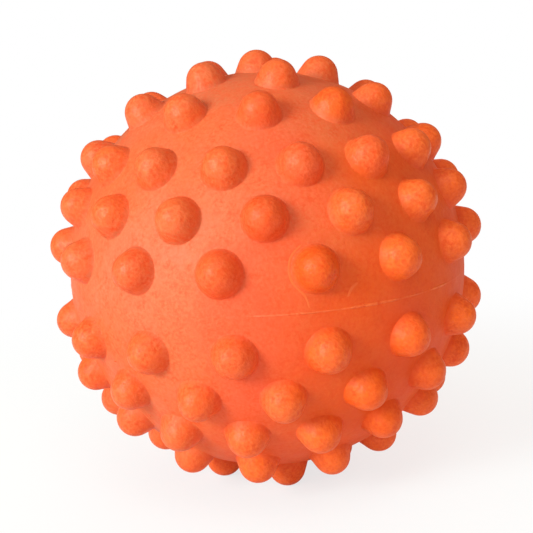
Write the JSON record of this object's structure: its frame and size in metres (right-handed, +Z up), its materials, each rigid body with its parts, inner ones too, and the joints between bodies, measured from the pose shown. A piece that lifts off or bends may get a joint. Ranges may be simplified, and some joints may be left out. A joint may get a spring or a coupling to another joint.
{
  "type": "sensory ball",
  "caption": "Hollow rubber ball with blunt round nubs all over, a fine raised joint line round its middle and a needle valve at its lower pole.",
  "frame": {"origin": "on the surface that the ball stands on, under the ball's centre, where it rests on the five nubs round its lower pole", "axes": "+Z up through both poles and the valve, square to the joint line; -Y out through the column of nubs that faces the viewer; +X to the viewer's right"},
  "size_m": [0.0981, 0.0978, 0.0978],
  "materials": {
    "shell_rubber": "matte moulded rubber with a soft sheen",
    "bond_rubber": "matte cured rubber",
    "valve_rubber": "soft matte rubber",
    "patch_rubber": "matte cured rubber"
  },
  "bodies": {
    "root": {"upper_half_shell": "shell_rubber", "lower_half_shell": "shell_rubber", "seam_bond": "bond_rubber", "valve_plug": "valve_rubber", "valve_seat": "patch_rubber"}
  },
  "joints": []
}
